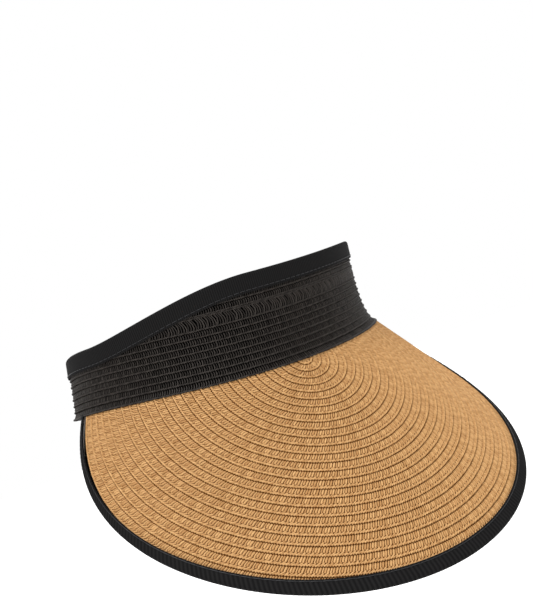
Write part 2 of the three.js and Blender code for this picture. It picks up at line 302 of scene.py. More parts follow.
@dataclass
class BrimShape:
    """The brim: a flat sewn disc cut along the seam and curled round the head."""

    opening: HeadOpening = field(default_factory=HeadOpening)
    temple: float = 145.0
    slope: float = math.radians(54.3)
    pitch: float = 4.4
    rows: int = 27
    rows_centre: tuple[float, float] = (1.2, 0.0)
    outline_centre: tuple[float, float] = (-1.2, 1.5)
    outline_radius: float = 121.2
    thickness: float = 1.5
    start: float = 0.4
    tape: float = 0.6
    cord: float = 0.6
    step: float = 0.5

    def __post_init__(self) -> None:
        """Lay the seam out flat, with the turning that the curled brim keeps."""
        opening = self.opening
        self.stations = np.arange(0, self.temple, self.step)
        turn = opening.seam(self.stations[:-1] + self.step / 2)[3]
        a, b = opening.half_width, opening.front_reach
        speed = np.hypot(a * np.cos(turn), b * np.sin(turn))
        bend = a * b / speed**3 * math.cos(self.slope)
        bend += 2 * opening.seam_rise * np.cos(2 * turn) / speed**2 * math.sin(self.slope)
        self.angle = np.concatenate([[0], np.cumsum(bend * self.step)])
        middle = (self.angle[1:] + self.angle[:-1]) / 2
        self.flat_x = np.concatenate([[0], np.cumsum(self.step * np.cos(middle))])
        self.flat_y = np.concatenate([[0], np.cumsum(self.step * np.sin(middle))])
        self.edge_inside = self.thickness / 2 + GAP
        self.edge_centre = self.outline_radius - self.edge_inside - self.tape
        self.braid_edge = self.edge_centre - self.cord - 2 * GAP

    def flat(self, s: np.ndarray) -> tuple[np.ndarray, np.ndarray]:
        """The seam's place in the flat disc and the direction away from the head there."""
        along = np.minimum(np.abs(s), self.stations[-1])
        side = np.where(s < 0, -1.0, 1.0)
        angle = np.interp(along, self.stations, self.angle)
        x = np.interp(along, self.stations, self.flat_x)
        y = np.interp(along, self.stations, self.flat_y)
        spot = np.column_stack([side * x, y])
        return spot, np.column_stack([side * np.sin(angle), -np.cos(angle)])

    def down_to(self, s: np.ndarray, radius: np.ndarray, centre: tuple[float, float]) -> np.ndarray:
        """Distance down the brim from the seam to a circle of the disc."""
        spot, away = self.flat(s)
        start = spot - np.array(centre)
        along = (start * away).sum(1)
        return np.sqrt(np.maximum(0, along**2 - (start**2).sum(1) + radius**2)) - along

    def meeting(self, radius: float, centre: tuple[float, float], side: int) -> float:
        """Station on one side where a circle of the disc runs into the seam."""
        s = np.linspace(centre[0], side * (self.temple - 0.8), 1500)
        spot, away = self.flat(s)
        distance = np.linalg.norm(spot + away * self.start - np.array(centre), axis=1)
        outside = np.nonzero(distance >= radius)[0]
        return float(s[outside[0]] if len(outside) else s[-1])

    def point(self, s: np.ndarray, down: np.ndarray, out: np.ndarray) -> np.ndarray:
        """Points this far down the brim from the seam and out of its underside."""
        spot, normal, rise, _ = self.opening.seam(s)
        level = down * math.cos(self.slope) + out * math.sin(self.slope)
        drop = down * math.sin(self.slope) - out * math.cos(self.slope)
        return np.column_stack([spot + normal * level[:, None], rise - drop])

    def circle(self, radius: float, centre: tuple[float, float], count: int) -> tuple:
        """Stations along a circle of the disc and their angles about its centre."""
        ends = [self.meeting(radius, centre, side) for side in (-1, 1)]
        s = np.linspace(*ends, count)
        spot, away = self.flat(s)
        on = spot + away * self.down_to(s, radius, centre)[:, None] - np.array(centre)
        return s, np.unwrap(np.arctan2(on[:, 0], -on[:, 1]))


# ---- Meshes --------------------------------------------------------------------------------


class Draft:
    """A mesh being put together from quads, with a material, a tint and cloth coordinates."""

    def __init__(self) -> None:
        """Start with nothing."""
        self.parts: list[tuple[np.ndarray, ...]] = []
        self.finishes: list["Finish"] = []
        self.count = 0

    def add(self, points: np.ndarray, quads: np.ndarray, finish: "Finish",
            tint: np.ndarray | None = None, cloth: np.ndarray | None = None) -> None:
        """Add closed shells of quads, turned so that their faces point outwards.

        Args:
            points: Vertices in millimetres.
            quads: Vertex numbers, four to a face.
            finish: What the faces are made of.
            tint: A value from 0 to 1 for each vertex.
            cloth: Coordinates along and across the cloth for each vertex, in millimetres.
        """
        if finish not in self.finishes:
            self.finishes.append(finish)
        if inside_out(points, quads):
            quads = quads[:, ::-1]
        slot = np.full(len(quads), self.finishes.index(finish))
        tint = np.full(len(points), 0.5) if tint is None else tint
        cloth = np.zeros((len(points), 2)) if cloth is None else cloth
        self.parts.append((points, quads + self.count, slot, tint, cloth))
        self.count += len(points)

    def build(self, name: str, sharp: float = math.radians(50)) -> bpy.types.Object:
        """Make the object, in metres and at the origin."""
        points, quads, slots, tint, cloth = (np.concatenate(p) for p in zip(*self.parts))
        mesh = bpy.data.meshes.new(name)
        mesh.vertices.add(len(points))
        mesh.vertices.foreach_set("co", (points * MM).astype(np.float32).ravel())
        mesh.loops.add(quads.size)
        mesh.loops.foreach_set("vertex_index", quads.astype(np.int32).ravel())
        mesh.polygons.add(len(quads))
        mesh.polygons.foreach_set("loop_start", np.arange(0, quads.size, 4, dtype=np.int32))
        mesh.polygons.foreach_set("material_index", slots.astype(np.int32))
        mesh.update(calc_edges=True)
        layer = mesh.attributes.new("tint", "FLOAT", "POINT")
        layer.data.foreach_set("value", tint.astype(np.float32))
        weave = mesh.uv_layers.new(name="cloth")
        weave.data.foreach_set("uv", (cloth[quads.ravel()] * MM).astype(np.float32).ravel())
        for finish in self.finishes:
            mesh.materials.append(finish.material())
        mesh.validate()
        mesh.shade_smooth()
        mesh.set_sharp_from_angle(angle=sharp)
        piece = bpy.data.objects.new(name, mesh)
        bpy.context.scene.collection.objects.link(piece)
        log.info("%s: %d faces", name, len(mesh.polygons))
        return piece


def swept(rings: np.ndarray) -> np.ndarray:
    """Quads of a closed section carried along a route.

    Args:
        rings: Array of stations by section points by 3, the section run round once.

    Returns:
        The quads, with both ends capped by strips across the section.
    """
    stations, around = rings.shape[:2]
    number = np.arange(stations * around).reshape(stations, around)
    after = np.roll(number, -1, axis=1)
    sides = np.stack([number[:-1], after[:-1], after[1:], number[1:]], -1).reshape(-1, 4)
    i = np.arange(around // 2 - 1)
    mirror = around - 1 - i
    first, end = number[0], number[-1]
    caps = np.concatenate([
        np.stack([first[i], first[mirror], first[mirror - 1], first[i + 1]], -1),
        np.stack([end[i], end[i + 1], end[mirror - 1], end[mirror]], -1),
    ])
    return np.concatenate([sides, caps])


def inside_out(points: np.ndarray, quads: np.ndarray) -> bool:
    """Whether closed shells hold a negative volume, so that their faces point inwards."""
    a, b, c, d = (points[quads[:, i]] for i in range(4))
    return float((np.cross(a, b) * c).sum() + (np.cross(a, c) * d).sum()) < 0


def strip_section(width: float, thickness: float, across: int, corner: float) -> np.ndarray:
    """A flat band's section, rounded at its edges.

    Args:
        width: From edge to edge.
        thickness: From face to face.
        across: Points on each face.
        corner: How far in from the edge the rounding starts.

    Returns:
        Points (across, out), first along the outer face and then back along the inner one.
    """
    v = np.concatenate([[0.0, corner * 0.3], np.linspace(corner, width - corner, across),
                        [width - corner * 0.3, width]])
    inset = np.concatenate([[0.42, 0.14], np.zeros(across), [0.14, 0.42]]) * thickness
    outer = np.column_stack([v, thickness - inset])
    inner = np.column_stack([v, inset])[::-1]
    return np.vstack([outer, inner])


def fold_section(reach: float, inside: float, thickness: float, legs: int, bends: int) -> np.ndarray:
    """A tape folded round an edge.

    Args:
        reach: Length of each leg.
        inside: Radius of the inner face at the fold.
        thickness: Thickness of the tape.
        legs: Points along each leg.
        bends: Points round the fold.

    Returns:
        Points (past the fold's centre, out of its middle), outer face first, then the inner.
    """
    def face(radius: float) -> np.ndarray:
        """One face of the tape, from the outer leg's end to the inner leg's end."""
        leg = np.linspace(-reach, 0, legs, endpoint=False)
        turn = np.linspace(0, math.pi, bends)
        bend = np.column_stack([radius * np.sin(turn), radius * np.cos(turn)])
        outer = np.column_stack([leg, np.full(legs, radius)])
        inner = np.column_stack([leg[::-1], np.full(legs, -radius)])
        return np.vstack([outer, bend, inner])
    return np.vstack([face(inside + thickness), face(inside)[::-1]])


def section_lengths(section: np.ndarray) -> np.ndarray:
    """Distance run round a section at each of its points."""
    steps = np.linalg.norm(np.diff(section, axis=0), axis=1)
    return np.concatenate([[0], np.cumsum(steps)])


# ---- Braid: a cell of strands, repeated by Geometry Nodes ------------------------------------


@dataclass(frozen=True)
class Strand:
    """One strand's stretch inside a cell: points (along, across, raised), width and depth."""

    points: tuple[tuple[float, float, float], ...]
    width: float
    depth: float = 0.5


def twist(pitch: float, foot: float, lobes: int, width: float, raised: float) -> list[Strand]:
    """The twisted edge of a braid: slanted lobes that overlap like a rope's."""
    length = pitch / lobes
    return [
        Strand((
            (i * length - 0.22 * length, foot, raised - 0.3),
            (i * length + 0.45 * length, foot - 0.38, raised),
            (i * length + 1.12 * length, foot - 0.62, raised - 0.3),
        ), width, 0.55)
        for i in range(lobes)
    ]


def brim_strands() -> list[Strand]:
    """Leaning loops, small eyelets, slanted strands below them, then the twisted edge."""
    loops = [
        Strand((
            (x - 0.4, 2.5, 0.2),
            (x - 0.1, 1.6, high),
            (x + 0.3, 0.8, high),
            (x + 0.6, 0.15, 0.1),
        ), wide)
        for x, high, wide in ((0.0, 0.5, 0.98), (1.2, 0.25, 0.74), (2.35, 0.46, 1.0))
    ]
    slants = [
        Strand(((x - 0.3, 3.6, 0.3), (x + 0.55, 3.05, 0.45), (x + 1.35, 2.5, 0.15)), 0.8, 0.45)
        for x in (0.1, 1.9)
    ]
    return loops + slants + twist(3.6, 4.02, 3, 0.7, 0.85)


def band_strands() -> list[Strand]:
    """Short upright strands with dark gaps over the twisted edge."""
    upright = [
        Strand(((x - 0.15, 2.6, 0.2), (x + 0.22, 1.4, high), (x + 0.05, 0.15, 0.05)), wide, 0.45)
        for x, high, wide in ((0.0, 0.5, 0.7), (1.2, 0.35, 0.56))
    ]
    return upright + twist(2.4, 3.1, 2, 0.66, 0.9)


def shell_strands() -> list[Strand]:
    """The open row, two rows tall: long curved strands fanned between two twisted edges."""
    fan = [
        Strand((
            (x - 0.35 + 0.3 * spread, 2.8, 0.2),
            (x + 0.35 + 0.2 * spread, 1.2, 0.55),
            (x + 0.25 - 0.1 * spread, -0.8, 0.6),
            (x - 0.85 - 0.25 * spread, -2.9, 0.3),
        ), wide, 0.5)
        for x, spread, wide in (
            (0.6, -1.0, 0.78), (1.8, -0.3, 0.64), (3.0, 0.4, 0.78), (4.15, 1.0, 0.64))
    ]
    return fan + twist(4.8, 3.1, 4, 0.66, 0.9) + twist(4.8, -2.75, 4, 0.6, 0.8)


class Cell(Enum):
    """The cells that the braids are made of: name, pitch along the row, strands."""

    BRIM = ("brim", 3.6, tuple(brim_strands()))
    BAND = ("band", 2.4, tuple(band_strands()))
    SHELL = ("shell", 4.8, tuple(shell_strands()))

    def __init__(self, label: str, pitch: float, strands: tuple[Strand, ...]) -> None:
        """Keep the cell's own values."""
        self.label = label
        self.pitch = pitch
        self.strands = strands


def strand_mesh(name: str, strands: Sequence[Strand]) -> bpy.types.Mesh:
    """A mesh of a few flat-bottomed strands, each closed."""
    made = bmesh.new()
    own = made.verts.layers.float.new("own")
    for number, strand in enumerate(strands):
        path = np.array(strand.points)
        run = np.gradient(path[:, :2], axis=0)
        run /= np.linalg.norm(run, axis=1)[:, None]
        side = np.column_stack([-run[:, 1], run[:, 0]])
        rings = []
        for spot, across in zip(path, side):
            ring = []
            for share, lift in STRAND_SECTION:
                at = spot[:2] + across * share * strand.width
                corner = made.verts.new((at[0], at[1], spot[2] + lift * strand.depth))
                corner[own] = number * SHADE_STEP % 1.0
                ring.append(corner)
            rings.append(ring)
        for a, b in zip(rings, rings[1:]):
            for i in range(4):
                made.faces.new((a[i], a[(i + 1) % 4], b[(i + 1) % 4], b[i]))
        made.faces.new(rings[0])
        made.faces.new(rings[-1][::-1])
    bmesh.ops.recalc_face_normals(made, faces=made.faces)
    mesh = bpy.data.meshes.new(name)
    made.to_mesh(mesh)
    made.free()
    return mesh


def add_node(tree: bpy.types.NodeTree, kind: str, settings: dict | None,
             sockets: dict | None) -> bpy.types.Node:
    """Add a node to a tree.

    Args:
        tree: The tree.
        kind: The node's type.
        settings: Its own settings, made first.
        sockets: Values or links for its sockets, by name or number.

    Returns:
        The new node.
    """
    made = tree.nodes.new(kind)
    for key, value in (settings or {}).items():
        setattr(made, key, value)
    for key, value in (sockets or {}).items():
        if isinstance(value, bpy.types.NodeSocket):
            tree.links.new(value, made.inputs[key])
        else:
            made.inputs[key].default_value = value
    return made


class NodeSheet:
    """A Geometry Nodes tree put together in the script, with named inputs."""

    def __init__(self, name: str) -> None:
        """Start an empty tree with its output."""
        self.tree = bpy.data.node_groups.new(name, "GeometryNodeTree")
        self.tree.interface.new_socket(
            name="Geometry", in_out="OUTPUT", socket_type="NodeSocketGeometry")
        self.given = self.tree.nodes.new("NodeGroupInput")
        self.result = self.tree.nodes.new("NodeGroupOutput")
        self.identifiers: dict[str, str] = {}

    def input(self, name: str, kind: str) -> bpy.types.NodeSocket:
        """Add a named input and return its socket inside the tree."""
        item = self.tree.interface.new_socket(name=name, in_out="INPUT", socket_type=kind)
        self.identifiers[name] = item.identifier
        return self.given.outputs[name]

    def node(self, kind: str, settings: dict | None = None,
             sockets: dict | None = None) -> bpy.types.Node:
        """Add a node with its settings and sockets."""
        return add_node(self.tree, kind, settings, sockets)


class Repeater:
    """Geometry Nodes that set one small shape out along a line, each a little different."""

    def __init__(self) -> None:
        """Build the tree."""
        sheet = NodeSheet("repeat along a row")
        shape = sheet.input("Shape", "NodeSocketObject")
        count = sheet.input("Count", "NodeSocketInt")
        pitch = sheet.input("Pitch", "NodeSocketFloat")
        drift = sheet.input("Drift", "NodeSocketFloat")
        seed = sheet.input("Seed", "NodeSocketInt")
        material = sheet.input("Material", "NodeSocketMaterial")
        offset = sheet.node("ShaderNodeCombineXYZ", sockets={"X": pitch})
        line = sheet.node("GeometryNodeMeshLine", sockets={"Count": count, "Offset": offset.outputs[0]})
        least = sheet.node("ShaderNodeMath", {"operation": "MULTIPLY"}, {0: drift, 1: -1.0})
        low = sheet.node("ShaderNodeCombineXYZ", sockets={"X": least.outputs[0], "Y": least.outputs[0]})
        high = sheet.node("ShaderNodeCombineXYZ", sockets={"X": drift, "Y": drift, "Z": drift})
        shake = sheet.node("FunctionNodeRandomValue", {"data_type": "FLOAT_VECTOR"},
                           {0: low.outputs[0], 1: high.outputs[0], "Seed": seed})
        moved = sheet.node("GeometryNodeSetPosition",
                           sockets={"Geometry": line.outputs[0], "Offset": shake.outputs[0]})
        picked = sheet.node("GeometryNodeObjectInfo", sockets={"Object": shape})
        placed = sheet.node("GeometryNodeInstanceOnPoints",
                            sockets={"Points": moved.outputs[0], "Instance": picked.outputs["Geometry"]})
        tint = sheet.node("FunctionNodeRandomValue", {"data_type": "FLOAT"}, {"Seed": seed})
        tinted = sheet.node("GeometryNodeStoreNamedAttribute", {"domain": "INSTANCE"}, {
            "Geometry": placed.outputs[0], "Name": "tint", "Value": tint.outputs[1]})
        real = sheet.node("GeometryNodeRealizeInstances", sockets={"Geometry": tinted.outputs[0]})
        dressed = sheet.node("GeometryNodeSetMaterial",
                             sockets={"Geometry": real.outputs[0], "Material": material})
        sheet.tree.links.new(dressed.outputs[0], sheet.result.inputs[0])
        self.sheet = sheet

    def lay(self, shape: bpy.types.Object, count: int, pitch: float, finish: "Finish",
            drift: float = 0.0, seed: int = 0) -> tuple[np.ndarray, np.ndarray, np.ndarray]:
        """Set the shape out in a straight line.

        Args:
            shape: The object repeated.
            count: How many.
            pitch: From one to the next.
            finish: Its finish.
            drift: How far each may stray.
            seed: Which strays.

        Returns:
            The points, the quads and each point's tint.
        """
        host = bpy.data.objects.new("row", bpy.data.meshes.new("row"))
        bpy.context.scene.collection.objects.link(host)
        modifier = host.modifiers.new("row", "NODES")
        modifier.node_group = self.sheet.tree
        values = {"Shape": shape, "Count": count, "Pitch": pitch, "Drift": drift, "Seed": seed,
                  "Material": finish.material()}
        for name, value in values.items():
            modifier[self.sheet.identifiers[name]] = value
        mesh = bpy.data.meshes.new_from_object(host.evaluated_get(bpy.context.evaluated_depsgraph_get()))
        points = np.zeros(len(mesh.vertices) * 3, np.float32)
        mesh.vertices.foreach_get("co", points)
        quads = np.zeros(len(mesh.loops), np.int32)
        mesh.loops.foreach_get("vertex_index", quads)
        tint, own = np.zeros((2, len(mesh.vertices)), np.float32)
        mesh.attributes["tint"].data.foreach_get("value", tint)
        mesh.attributes["own"].data.foreach_get("value", own)
        bpy.data.objects.remove(host)
        bpy.data.meshes.remove(mesh)
        return points.reshape(-1, 3).astype(float), quads.reshape(-1, 4), (tint + own) % 1.0


@dataclass
class Weaver:
    """Lays braid, stitches and hooks on a surface."""

    repeater: Repeater
    shapes: dict[str, bpy.types.Object] = field(default_factory=dict)
    seed: int = 1

    def shape(self, name: str, strands: Sequence[Strand]) -> bpy.types.Object:
        """The small object to repeat, made once."""
        if name not in self.shapes:
            made = bpy.data.objects.new(name, strand_mesh(name, strands))
            bpy.context.scene.collection.objects.link(made)
            self.shapes[name] = made
        return self.shapes[name]

    def line(self, draft: Draft, name: str, strands: Sequence[Strand], span: tuple[float, float],
             pitch: float, finish: "Finish", place: Place, drift: float = 0.0,
             flip: bool = False) -> None:
        """Repeat a shape along a row and bend it onto the surface.

        Args:
            draft: The mesh that it joins.
            name: The shape's name.
            strands: What the shape is made of.
            span: Where the row starts and ends.
            pitch: Wanted distance between repeats; the row takes a whole number of them.
            finish: Its finish.
            place: Gives the surface point for distances along, across and out.
            drift: How far each repeat may stray.
            flip: Whether the shapes lie on the underside.
        """
        length = span[1] - span[0]
        count = max(1, round(length / pitch))
        self.seed += 1
        points, quads, tint = self.repeater.lay(
            self.shape(name, strands), count, length / count, finish, drift, self.seed)
        raised = -points[:, 2] if flip else points[:, 2]
        made = place(points[:, 0] + span[0], points[:, 1], raised)
        draft.add(made, quads, finish, tint)

    def stitches(self, draft: Draft, span: tuple[float, float], place: Place, flip: bool,
                 pitch: float = 3.2) -> None:
        """A line of stitches."""
        self.line(draft, "stitch", STITCH, span, pitch, THREAD, place, flip=flip)

    def clear(self) -> None:
        """Remove the small shapes once everything is laid."""
        for made in self.shapes.values():
            bpy.data.objects.remove(made)
        self.shapes.clear()


DRIFT = 0.07


def core(draft: Draft, span: tuple[float, float], width: float, inner: float, outer: float,
         finish: "Finish", place: Place, step: float = 3.0) -> None:
    """The dense middle of a braid: a thin closed strip between the strands of both faces. It stands for the plait's
    inner layer, and the dark finish it is given paints the shade in the gaps between the strands.
    """
    along = np.linspace(*span, max(2, round((span[1] - span[0]) / step)))
    across = np.linspace(0, width, 4)
    section = [(v, outer) for v in across] + [(v, inner) for v in across[::-1]]
    grid = np.array([[(s, v, w) for v, w in section] for s in along])
    flat = grid.reshape(-1, 3)
    draft.add(place(flat[:, 0], flat[:, 1], flat[:, 2]), swept(grid), finish)


# ---- Finishes ------------------------------------------------------------------------------

Colour = tuple[float, float, float]


class Ink:
    """A shader socket that sums can be written with."""

    def __init__(self, recipe: "Recipe", socket: bpy.types.NodeSocket) -> None:
        """Hold the socket and the recipe it belongs to."""
        self.recipe = recipe
        self.socket = socket

    def _math(self, operation: str, first: "Ink | float", second: "Ink | float") -> "Ink":
        """Add a Math node."""
        return self.recipe.node("ShaderNodeMath", {"operation": operation}, {0: first, 1: second})

    def __add__(self, other: "Ink | float") -> "Ink":
        """self + other."""
        return self._math("ADD", self, other)

    def __radd__(self, other: float) -> "Ink":
        """other + self."""
        return self._math("ADD", other, self)

    def __sub__(self, other: "Ink | float") -> "Ink":
        """self - other."""
        return self._math("SUBTRACT", self, other)

    def __rsub__(self, other: float) -> "Ink":
        """other - self."""
        return self._math("SUBTRACT", other, self)

    def __mul__(self, other: "Ink | float") -> "Ink":
        """self * other."""
        return self._math("MULTIPLY", self, other)

    def __rmul__(self, other: float) -> "Ink":
        """other * self."""
        return self._math("MULTIPLY", other, self)

    def wave(self, pitch: float) -> "Ink":
        """A sine between 0 and 1 that repeats every pitch."""
        return self.recipe.node("ShaderNodeMath", {"operation": "SINE"},
                                {0: self * (2 * math.pi / pitch)}) * 0.5 + 0.5


class Recipe:
    """One material's nodes."""

    def __init__(self, name: str) -> None:
        """Start with the surface shader."""
        self.made = bpy.data.materials.new(name)
        self.made.use_nodes = True
        self.tree = self.made.node_tree
        self.shader = self.tree.nodes["Principled BSDF"]

    def node(self, kind: str, settings: dict | None = None, sockets: dict | None = None,
             output: str | int = 0) -> Ink:
        """Add a node.

        Args:
            kind: The node's type.
            settings: Its own settings, made first.
            sockets: Values or links for its sockets, by name or number.
            output: Which output to hand back.

        Returns:
            The output, ready for sums.
        """
        plain = {key: getattr(value, "socket", value) for key, value in (sockets or {}).items()}
        return Ink(self, add_node(self.tree, kind, settings, plain).outputs[output])

    def mix(self, share: Ink, low: Colour, high: Colour) -> Ink:
        """A colour between two."""
        return self.node("ShaderNodeMix", {"data_type": "RGBA"},
                         {0: share, 6: (*low, 1), 7: (*high, 1)}, 2)

    def noise(self, scale: float, detail: float = 2.0) -> Ink:
        """Noise on the object's own coordinates; scale is in repeats per metre."""
        place = self.node("ShaderNodeTexCoord", output="Object")
        return self.node("ShaderNodeTexNoise", sockets={
            "Vector": place, "Scale": scale, "Detail": detail, "Roughness": 0.6})

    def cloth(self) -> tuple[Ink, Ink]:
        """Distances along and across the cloth, in metres."""
        place = self.node("ShaderNodeUVMap", {"uv_map": "cloth"})
        split = {name: self.node("ShaderNodeSeparateXYZ", sockets={0: place}, output=name) for name in "XY"}
        return split["X"], split["Y"]

    def bump(self, height: Ink, depth: float) -> Ink:
        """Relief from a height between 0 and 1; depth in millimetres."""
        return self.node("ShaderNodeBump", sockets={
            "Height": height, "Distance": depth * MM, "Strength": 1.0})

    def give(self, **sockets: "Ink | float | tuple") -> None:
        """Set or link sockets of the surface shader; underscores stand for spaces."""
        for key, value in sockets.items():
            socket = self.shader.inputs[key.replace("_", " ")]
            if isinstance(value, Ink):
                self.tree.links.new(value.socket, socket)
            else:
                socket.default_value = value


@dataclass(frozen=True)
class Finish:
    """What a surface is made of."""

    name: str
    dark: Colour
    light: Colour
    roughness: float = 0.7
    slot: str = ""
    gloss: float = 0.2

    def material(self) -> bpy.types.Material:
        """The material, made the first time it is asked for."""
        label = f"{self.name} finish"
        if label not in bpy.data.materials:
            self.cook(Recipe(label))
        return bpy.data.materials[label]

    def cook(self, recipe: Recipe) -> None:
        """Fill in the nodes: a plain dyed surface with faint mottling."""
        recipe.give(Base_Color=recipe.mix(recipe.noise(900.0), self.dark, self.light),
                    Roughness=self.roughness, Specular_IOR_Level=self.gloss)


@dataclass(frozen=True)
class StrandFinish(Finish):
    """Twisted paper straw: each strand differs a little, and fine fibres run through it."""

    def cook(self, recipe: Recipe) -> None:
        """Fill in the nodes."""
        tint = recipe.node("ShaderNodeAttribute", {"attribute_name": "tint"}, output="Fac")
        fibre = recipe.noise(2400.0, 3.0)
        patch = recipe.noise(160.0)
        share = recipe.node("ShaderNodeClamp", sockets={0: tint * 0.55 + fibre * 0.8 + patch * 0.2 - 0.28})
        recipe.give(
            Base_Color=recipe.mix(share, self.dark, self.light),
            Roughness=self.roughness + (fibre - 0.5) * 0.25,
            Normal=recipe.bump(fibre, 0.12),
            Specular_IOR_Level=self.gloss,
        )


@dataclass(frozen=True)
class RibFinish(Finish):
    """Ribbed tape: fine cords across its length."""

    rib: float = 1.0
    depth: float = 0.12

    def cook(self, recipe: Recipe) -> None:
        """Fill in the nodes."""
        along, across = recipe.cloth()
        fuzz = recipe.noise(3000.0, 3.0)
        rib = along.wave(self.rib * MM)
        thread = across.wave(self.rib * 0.5 * MM)
        height = rib * 0.75 + thread * 0.15 + fuzz * 0.2
        recipe.give(
            # The colour follows the ribs, lighter on their crests and darker in their hollows: painted shade over the
            # bump; the fuzz in it is random tone.
            Base_Color=recipe.mix(rib * 0.6 + fuzz * 0.5, self.dark, self.light),
            Roughness=self.roughness + (fuzz - 0.5) * 0.2,
            Normal=recipe.bump(height, self.depth),
            Specular_IOR_Level=self.gloss,
        )


@dataclass(frozen=True)
class TwillFinish(Finish):
    """Plain strap cloth: a close weave of warp and weft."""

    thread: float = 0.8
    depth: float = 0.1

    def cook(self, recipe: Recipe) -> None:
        """Fill in the nodes."""
        along, across = recipe.cloth()
        fuzz = recipe.noise(2500.0, 3.0)
        diagonal = (along + across).wave(self.thread * MM)
        weft = across.wave(self.thread * 0.5 * MM)
        height = diagonal * 0.6 + weft * 0.3 + fuzz * 0.3
        recipe.give(
            # The colour follows the weave's relief height, darker in its hollows: painted shade; the fuzz in it is
            # random tone.
            Base_Color=recipe.mix(height, self.dark, self.light),
            Roughness=self.roughness,
            Normal=recipe.bump(height, self.depth),
            Specular_IOR_Level=self.gloss,
        )


TAN_STRAND = StrandFinish(
    "tan straw", (0.33, 0.155, 0.047), (0.64, 0.385, 0.165), 0.62, "tan_braid", 0.2)
# The tan core is the straw's inner layer, coloured far darker than the strands and given no gloss: painted shade for
# the gaps between the strands.
TAN_SHADED_CORE = Finish(
    "tan straw core", (0.10, 0.037, 0.009), (0.15, 0.058, 0.015), 0.9, "tan_braid", 0.0)
BLACK_STRAND = StrandFinish(
    "black straw", (0.008, 0.0065, 0.0055), (0.050, 0.043, 0.038), 0.4, "black_braid", 0.1)
# The black core is the straw's inner layer, coloured near black and given no gloss: painted shade for the gaps between
# the strands.
BLACK_SHADED_CORE = Finish(
    "black straw core", (0.001, 0.001, 0.001), (0.002, 0.002, 0.002), 0.9, "black_braid", 0.0)
GROSGRAIN = RibFinish(
    "grosgrain", (0.003, 0.003, 0.0032), (0.014, 0.0135, 0.0135), 0.7, "grosgrain", 0.03, 1.1)
RIBBON = RibFinish(
    "sweatband ribbon", (0.003, 0.003, 0.0032), (0.011, 0.011, 0.0115), 0.6, "ribbon", 0.04, 0.7, 0.06)
STRAP_CLOTH = TwillFinish(
    "strap cloth", (0.003, 0.003, 0.0032), (0.013, 0.013, 0.0135), 0.85, "strap_cloth", 0.03)
HOOKS = Finish("hook nylon", (0.005, 0.005, 0.006), (0.009, 0.009, 0.010), 0.35, "hook_nylon", 0.4)
LOOPS = Finish("loop nylon", (0.006, 0.006, 0.007), (0.013, 0.013, 0.014), 0.6, "loop_nylon")
THREAD = Finish("sewing thread", (0.008, 0.008, 0.009), (0.020, 0.020, 0.022), 0.45, "", 0.3)
EDGE_CORD = Finish("edge cord", (0.55, 0.55, 0.53), (0.62, 0.62, 0.60), 0.45, "boning", 0.4)
FLOOR = Finish("pale floor", (0.95, 0.95, 0.95), (0.97, 0.97, 0.97), 0.9, "", 0.0)


# ---- Sewing --------------------------------------------------------------------------------

STITCH = (Strand(
    ((-1.25, 0.0, -0.12), (-0.7, 0.0, 0.12), (0.7, 0.0, 0.12), (1.25, 0.0, -0.12)), 0.42, 0.2),)
HOOK = (Strand(((-0.3, 0, -0.1), (-0.2, 0, 0.45), (0.1, 0, 0.62), (0.3, 0, 0.42)), 0.22, 0.14),)
LOOP = (Strand(
    ((-0.45, 0.1, -0.1), (-0.25, 0.1, 0.4), (0.25, -0.1, 0.45), (0.45, -0.1, -0.1)), 0.25, 0.18),)


@dataclass
class Tapes:
    """Lengths of tape, ribbon and webbing laid on the band's surface."""

    step: float = 2.0

    def stations(self, start: float, end: float, step: float | None = None) -> np.ndarray:
        """Even stations between two arc lengths."""
        return np.linspace(start, end, max(2, round(abs(end - start) / (step or self.step)) + 1))

    def along(self, draft: Draft, s: np.ndarray, section: np.ndarray, finish: Finish,
              place: Place) -> None:
        """Carry a section along stations.

        Args:
            draft: The mesh that the tape joins.
            s: The stations.
            section: Points (across, out) run round once.
            finish: What the tape is made of.
            place: Gives surface points for stations, across and out.
        """
        across = section_lengths(section)
        grid_s = np.repeat(s, len(section))
        grid = np.tile(section, (len(s), 1))
        points = place(grid_s, grid[:, 0], grid[:, 1])
        quads = swept(points.reshape(len(s), len(section), 3))
        cloth = np.column_stack([grid_s, np.tile(across, len(s))])
        draft.add(points, quads, finish, cloth=cloth)


# ---- The headband --------------------------------------------------------------------------


